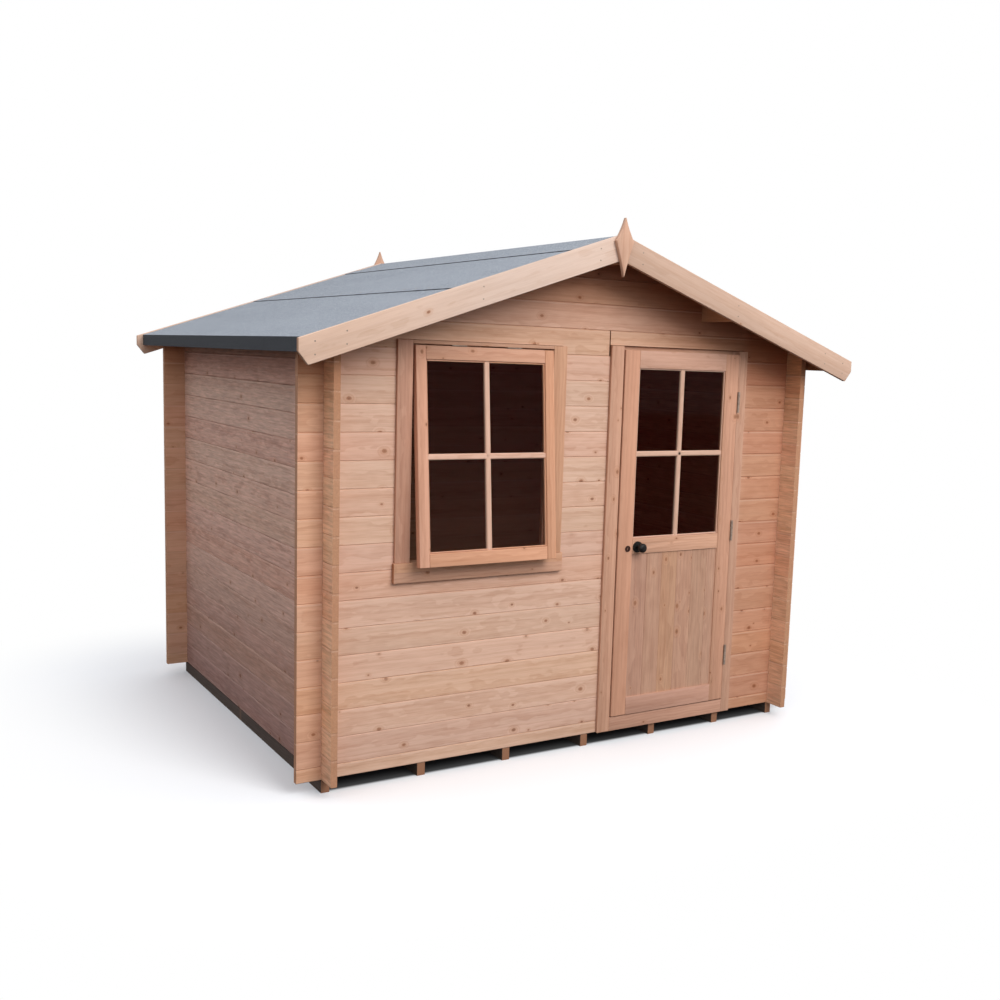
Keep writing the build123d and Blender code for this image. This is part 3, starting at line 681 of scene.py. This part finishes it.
# Bargeboards and finials: pale planed boards nailed to the ends of the roof, and a diamond shaped
# board over the joint at each peak. Their arrises are sanded off.
planed_arris = 0.0025
barge_pitch = 0.3
barge_drop = 0.2
barge_low, barge_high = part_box("front_bargeboards")
barge_first = barge_high.z - barge_drop
barge_pale = linear(207, 180, 163)
barge_late = linear(192, 160, 139)
finial_first, finial_pitch = -0.2, 0.4
finial_pale = linear(207, 165, 137)
finial_late = linear(188, 140, 111)
merge_distance = 0.00002
flat_angle = math.radians(2)
sharp_angle = math.radians(30)


def eased(node, width, segments=2):
    """A copy of a solid with its sharp edges softened, as one clean mesh."""
    piece = copied(f"{node}_finished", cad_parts[node].data)
    pick_none()
    bpy.context.view_layer.objects.active = piece
    piece.select_set(True)
    bpy.ops.object.mode_set(mode="EDIT")
    bpy.ops.mesh.select_all(action="SELECT")
    bpy.ops.mesh.remove_doubles(threshold=merge_distance)
    bpy.ops.mesh.dissolve_limited(angle_limit=flat_angle)
    bpy.ops.mesh.normals_make_consistent(inside=False)
    bpy.ops.object.mode_set(mode="OBJECT")
    bpy.ops.object.shade_smooth()
    limits = {"limit_method": "ANGLE", "angle_limit": sharp_angle, "harden_normals": True}
    apply_modifier(piece, "BEVEL", width=width, segments=segments, **limits)
    return piece


def down_gable(x, y, z):
    """Grain of a bargeboard, which follows the slope on both sides of the ridge."""
    left = x.maths("LESS_THAN", 0.0)
    return x, z + x.maths("ABSOLUTE") * roof_slope + left * barge_pitch, y


def barge_tints(x, y, z):
    """The right boards are a little duller and the left ones warmer towards the eave."""
    right_board = x.rise(0.0, 0.01)
    left_eave = 1 - x.rise(-1.4, -0.5)
    return [(right_board, (1.04, 0.95, 0.86)), (left_eave, (1.12, 1.03, 0.95))]


def upright(x, y, z):
    """Grain of a post, stile or jamb."""
    return z, x, y


barge_wood = timber(
    "planed_bargeboard", down_gable, barge_pale, barge_late, barge_first, barge_pitch,
    knots_per_metre=2.6, ring=0.0055, spread=0.2, tints=barge_tints,
)
finial_wood = timber(
    "planed_finial", upright, finial_pale, finial_late, finial_first, finial_pitch, ring=0.005
)
for end in ("front", "rear"):
    for part, wood in (("bargeboards", barge_wood), ("finial", finial_wood)):
        node = f"{end}_{part}"
        finish_piece(eased(node, planed_arris), wood, "cabin", "planed_timber", node)

# Nails in the bargeboards: thin wire nails of dull steel, driven flush in pairs. They hold each board at
# the ridge, on the end of each purlin, at the wall and at the eave.
wire_radius = 0.0032
wire_height = 0.0009
barge_depth = 0.105
down_the_board = (0.28, 0.72)
by_the_ridge = 0.11
purlin_half = 0.02
purlin_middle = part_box("roof_purlins")[1].x - purlin_half
nail_places = (by_the_ridge, purlin_middle, half_width, boards_high.x - clout_inset)
facing_front = Matrix.Rotation(math.pi / 2, 4, "X")
nails = []
for side in (-1, 1):
    for nail_x in nail_places:
        for share in down_the_board:
            nail_z = barge_high.z - nail_x * roof_slope - barge_depth * share / math.cos(roof_angle)
            driven_at = Matrix.Translation((side * nail_x, barge_low.y, nail_z))
            nails.append(nail_head("nail", wire_radius, wire_height, driven_at @ facing_front))
front_nails = joined("front_bargeboard_nails", nails)
rear_nails = copied("rear_bargeboard_nails", front_nails.data)
place(rear_nails, half_turn)
steel = metal(
    "dull_steel", linear(140, 122, 108), linear(164, 146, 131),
    patches=90.0, metallic=0.2, roughness=0.6, bump=(0.1, 0.0005),
)
for piece in (front_nails, rear_nails):
    finish_piece(piece, steel, "cabin", "hinge_steel")

# Door frame: two jambs grooved over the ends of the logs, a head and a threshold, of planed pine a
# little redder than the logs. The frame is held by the grooves alone.
frame_arris = 0.002
frame_pale = linear(198, 151, 124)
frame_late = linear(174, 124, 97)
jamb_pitch = 0.41
head_pitch = 0.45

# Each jamb, stile or rail is a narrow strip of its stem, so only some of the stem's knots show on it
strip_knots = 18.0
jamb_wood = timber(
    "frame_upright", upright, frame_pale, frame_late, -jamb_pitch * 3, jamb_pitch, knots_per_metre=strip_knots
)
head_wood = timber(
    "frame_level", along_x, frame_pale, frame_late, cad_box[0].z, head_pitch, knots_per_metre=strip_knots
)
for node, wood in (
    ("door_latch_jamb", jamb_wood),
    ("door_hinge_jamb", jamb_wood),
    ("door_head_rail", head_wood),
    ("door_threshold", head_wood),
):
    finish_piece(eased(node, frame_arris), wood, "cabin", "frame_timber", node)

# Door leaf: two stiles and three rails of planed pine, tenoned into a frame. A panel of upright tongued
# boards fills it below the middle rail, and glass above.
leaf_arris = 0.0025
stile_first, stile_pitch = -1.2, 0.4
stile_pale = linear(202, 149, 120)
stile_late = linear(179, 125, 96)
rail_first, rail_pitch = -0.1, 0.36
rail_pale = linear(206, 159, 135)
rail_late = linear(186, 136, 110)
splash_z = (0.1, 0.35)


def rail_tints(x, y, z):
    """Rain splashes the bottom rail."""
    return [(1 - z.rise(*splash_z), (0.9, 0.88, 0.86))]


stile_wood = timber(
    "joinery_upright", upright, stile_pale, stile_late, stile_first, stile_pitch, knots_per_metre=strip_knots
)
rail_wood = timber(
    "joinery_level", along_x, rail_pale, rail_late, rail_first, rail_pitch,
    knots_per_metre=strip_knots, tints=rail_tints,
)
for node, wood in (("door_stiles", stile_wood), ("door_rails", rail_wood)):
    finish_piece(eased(node, leaf_arris), wood, "door", "joinery_timber", node)

panel_low, panel_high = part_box("door_panel")
panel_step = 0.092
panel_count = math.ceil((panel_high.x - panel_low.x) / panel_step)
panel_arris = 0.0015
panel_pale = linear(191, 147, 121)
panel_late = linear(165, 119, 95)
panel_wood = timber(
    "panel_boards", upright, panel_pale, panel_late, panel_low.x, panel_step, knots_per_metre=7.0, flecks=0.35
)
panel = block("door_panel_boards", panel_low, (panel_low.x + panel_step, panel_high.y, panel_high.z))
bevel_edges(panel, lambda at, way: abs(way.z) > lengthwise, panel_arris, 1)
repeat(panel, panel_count, (panel_step, 0.0, 0.0))
cut_plumb(panel, panel_high.x, False)
finish_piece(panel, panel_wood, "door", "joinery_timber", "door_panel")

# Glass and glazing bars: clear float glass in the door and the sash, each divided into four panes by a
# cross of moulded bars planted on both faces, and held from the front by beads.
haze_per_metre = 3.0
glass, start = new_material("window_glass")
haze = start.node("TexCoord", output="Object").noise(3.0, haze_per_metre)
# Painted shade: the glass is coloured a dark red brown at part alpha, standing for the dark room behind it
glass_inputs = {
    "Base Color": linear(38, 5, 4),
    "Roughness": 0.02 + haze.rise(0.4, 0.8) * 0.03,
    "Alpha": 0.3,
    "Specular IOR Level": 0.1,
}
surface(start, glass_inputs)
dress(glass, "door_glass", "window_glass")

bar_width = 0.026
bar_depth = 0.022
bar_round = 0.007
bead_width = 0.007
bead_depth = 0.009
bead_round = 0.004


def bar(name, low, high):
    """One glazing bar with moulded front and back edges."""
    piece = block(name, low, high)
    long_way = max(range(3), key=lambda axis: high[axis] - low[axis])
    bevel_edges(piece, lambda at, way: abs(way[long_way]) > lengthwise, bar_round, 3)
    return piece


def cross_bars(name, low, high):
    """A cross of glazing bars in the middle of a pane."""
    middle = (Vector(low) + Vector(high)) / 2
    half = Vector((bar_width, bar_depth, bar_width)) / 2
    near, far = middle - half, middle + half
    post = bar(f"{name}_post", (near.x, near.y, low[2]), (far.x, far.y, high[2]))
    cross = bar(f"{name}_cross", (low[0], near.y, near.z), (high[0], far.y, far.z))
    return post, cross


def glazing_beads(name, low, high):
    """Four beads that hold a pane from the front, two of them upright and two level between those."""
    front, back = low[1] - bead_depth, low[1]
    left, right = low[0] + bead_width, high[0] - bead_width
    middle = (front + back) / 2
    strips = []
    for long_way, x_low, x_high, z_low, z_high in (
        (2, low[0], left, low[2], high[2]),
        (2, right, high[0], low[2], high[2]),
        (0, left, right, low[2], low[2] + bead_width),
        (0, left, right, high[2] - bead_width, high[2]),
    ):
        strip = block("bead", (x_low, front, z_low), (x_high, back, z_high))
        bevel_edges(strip, lambda at, way: abs(way[long_way]) > lengthwise and at.y < middle, bead_round)
        strips.append(strip)
    return joined(name, strips)


bar_knots = 1.0
# The bars are paler than the rest of the joinery, partly as a painted highlight on their rounded fronts
bar_pale_with_highlight = linear(215, 173, 150)
bar_late_with_highlight = linear(195, 149, 123)
bar_post_wood = timber(
    "bar_upright", upright, bar_pale_with_highlight, bar_late_with_highlight, stile_first, stile_pitch, knots_per_metre=bar_knots
)
bar_cross_wood = timber(
    "bar_level", along_x, bar_pale_with_highlight, bar_late_with_highlight, rail_first, rail_pitch, knots_per_metre=bar_knots
)
door_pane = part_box("door_glass")
for piece, wood in zip(cross_bars("door_bar", *door_pane), (bar_post_wood, bar_cross_wood)):
    finish_piece(piece, wood, "door", "joinery_timber")
finish_piece(glazing_beads("door_glazing_beads", *door_pane), bar_cross_wood, "door", "joinery_timber")

# Window: grooved jambs, a head and a deep sill board of the same pine as the door frame, and a top
# hung sash of stiles and rails that stands ajar.
for node, wood in (("window_jambs", jamb_wood), ("window_head_rail", head_wood), ("window_sill", head_wood)):
    finish_piece(eased(node, frame_arris), wood, "cabin", "frame_timber", node)

sash_swing = math.radians(5.0)
sash_stile_stems = (-1.3, 0.4)
sash_rail_stems = (-0.1, 0.41)
sash_pale = linear(208, 154, 126)
sash_late = linear(188, 132, 103)


def sash_upright(x, y, z):
    """Grain of a stile of the sash, which leans out with it."""
    height = z * math.cos(sash_swing) + y * math.sin(sash_swing)
    depth = y * math.cos(sash_swing) - z * math.sin(sash_swing)
    return height, x, depth


def sash_level(x, y, z):
    """Grain of a rail of the sash."""
    height, across, depth = sash_upright(x, y, z)
    return across, height, depth


def sash_timber(name, pale, late, knots):
    """Timber for the upright and for the level pieces of the sash, with one stem to each piece."""
    return (
        timber(f"{name}_upright", sash_upright, pale, late, *sash_stile_stems, knots_per_metre=knots),
        timber(f"{name}_level", sash_level, pale, late, *sash_rail_stems, knots_per_metre=knots),
    )


sash_stile_wood, sash_rail_wood = sash_timber("sash", sash_pale, sash_late, strip_knots)
sash_post_wood, sash_cross_wood = sash_timber("sash_bar", bar_pale_with_highlight, bar_late_with_highlight, bar_knots)
for node, wood in (("window_sash_stiles", sash_stile_wood), ("window_sash_rails", sash_rail_wood)):
    finish_piece(eased(node, leaf_arris), wood, "cabin", "joinery_timber", node)

# The bars and beads of the sash are made upright, then hung at its angle from the top of the pane
pane_low, pane_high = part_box("window_glass")
pane_corners = [corner.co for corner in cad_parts["window_glass"].data.vertices]
pane_top = max(pane_corners, key=lambda corner: corner.z)
pane_thickness = door_pane[1].y - door_pane[0].y
pane_height = (pane_high.z - pane_low.z - pane_thickness * math.sin(sash_swing)) / math.cos(sash_swing)
sash_pane = ((pane_low.x, 0.0, -pane_height), (pane_high.x, pane_thickness, 0.0))
sash_trim = [*cross_bars("sash_bar", *sash_pane), glazing_beads("sash_glazing_beads", *sash_pane)]
hang = Matrix.Translation((0.0, pane_top.y, pane_top.z)) @ Matrix.Rotation(-sash_swing, 4, "X")
for piece, wood in zip(sash_trim, (sash_post_wood, sash_cross_wood, sash_stile_wood)):
    place(piece, hang)
    finish_piece(piece, wood, "cabin", "joinery_timber")

# Ironmongery: dull steel butt hinges screwed to the door and the sash, a black iron knob between two
# roses on its spindle, and brown bronze covers over the keyhole.
dress(steel, "door_hinge_barrels", "door_hinge_pins", "window_hinges")

cast = {"detail": 2.0, "share": (0.4, 0.75)}
iron = metal(
    "black_iron", linear(20, 18, 18), linear(40, 36, 34),
    patches=240.0, metallic=0.4, roughness=0.36, bump=(0.15, 0.0006), **cast,
)
knob_round = 0.002
finish_piece(eased("door_knob", knob_round, 3), iron, "knob", "black_iron", "door_knob")
dress(iron, "door_knob_roses")

bronze = metal(
    "brown_bronze", linear(50, 24, 16), linear(74, 38, 26),
    patches=300.0, metallic=0.3, roughness=0.42, bump=(0.12, 0.0004), **cast,
)
dress(bronze, "keyhole_covers")

# Studio: a pale floor that fades into a white surround, with a dark patch of painted shade under the cabin,
# even light from all round, one soft lamp high in front, and the camera where the cabin was seen from.
bpy.context.scene.view_settings.view_transform = "Standard"
white = (1.0, 1.0, 1.0, 1.0)
paper_white = (0.93, 0.93, 0.93, 1.0)
paper_painted_shade = (0.08, 0.08, 0.08, 1.0)
paper_bounce = (0.05, 0.05, 0.05, 1.0)
floor_size = 60.0
floor_drop = 0.0005
fade = (0.1, 1.3)
shade_edge = 0.03
pick_none()
bpy.ops.mesh.primitive_plane_add(size=floor_size, location=(0.0, 0.0, -floor_drop))
ground = bpy.context.object
ground.name = "studio_floor"
paper, start = new_material("studio_paper")
x, y, z = start.node("TexCoord", output="Object").parts()
beside = x.maths("ABSOLUTE") - half_width
before = y.maths("ABSOLUTE") - half_depth
# Painted shade: the floor seen under the cabin's footprint is darkened
shade_under_cabin = (1 - beside.rise(-shade_edge, 0.0)) * (1 - before.rise(-shade_edge, 0.0))
beside = beside.maths("MAXIMUM", 0.0)
before = before.maths("MAXIMUM", 0.0)
far_away = (beside * beside + before * before).maths("SQRT").rise(*fade)
seen = start.node("LightPath", output="Is Camera Ray")
shown_paper = shade_under_cabin.mix(paper_white, paper_painted_shade)
diffuse = start.node("BsdfDiffuse", inputs={"Color": seen.mix(paper_bounce, shown_paper)})
glow = start.node("Emission", inputs={"Color": white, "Strength": 1.0})
cover = start.node("MixShader", inputs={0: far_away * seen, 1: diffuse, 2: glow})
start.node("OutputMaterial", inputs={"Surface": cover})
ground.data.materials.append(paper)

sky_light = (0.96, 1.0, 1.06, 1.0)
world = bpy.data.worlds.new("studio")
bpy.context.scene.world = world
world.use_nodes = True
world.node_tree.nodes.clear()
start = Shade(world.node_tree)
shown = start.node("LightPath", output="Is Camera Ray")
shown = shown.maths("MAXIMUM", start.node("LightPath", output="Is Glossy Ray"))
shown = shown.maths("MAXIMUM", start.node("LightPath", output="Is Transmission Ray"))
air = start.node("Background", inputs={"Color": shown.mix(sky_light, white), "Strength": 1.0})
air.node("OutputWorld", inputs={"Surface": air})

lamp_place = Vector((0.7, -7.5, 5.8))
lamp_target = Vector((0.0, 0.0, 1.1))
softbox = bpy.data.lights.new("key", "AREA")
softbox.size = 4.5
softbox.energy = 450.0
lamp = bpy.data.objects.new("key", softbox)
bpy.context.scene.collection.objects.link(lamp)
lamp.location = lamp_place
lamp.rotation_euler = (lamp_target - lamp_place).to_track_quat("-Z", "Y").to_euler()

# Camera position and angles fitted to the corners, log joints and roof edges of the cabin
camera_place = (-2.8933, -5.3929, 1.8006)
camera_yaw = math.radians(33.641)
camera_pitch = math.radians(7.782)
camera_roll = math.radians(2.167)
picture_side = 1000.0
focal_pixels = 1155.7
centre_pixel = (582.6, 518.3)
lens = bpy.data.cameras.new("camera")
lens.sensor_width = 36.0
lens.lens = focal_pixels / picture_side * lens.sensor_width
lens.shift_x = (picture_side / 2 - centre_pixel[0]) / picture_side
lens.shift_y = (centre_pixel[1] - picture_side / 2) / picture_side
camera = bpy.data.objects.new("camera", lens)
bpy.context.scene.collection.objects.link(camera)
heading = Matrix.Rotation(-camera_yaw, 4, "Z")
tilt = Matrix.Rotation(math.pi / 2 - camera_pitch, 4, "X")
camera.matrix_world = Matrix.Translation(camera_place) @ heading @ tilt @ Matrix.Rotation(camera_roll, 4, "Z")
bpy.context.scene.camera = camera
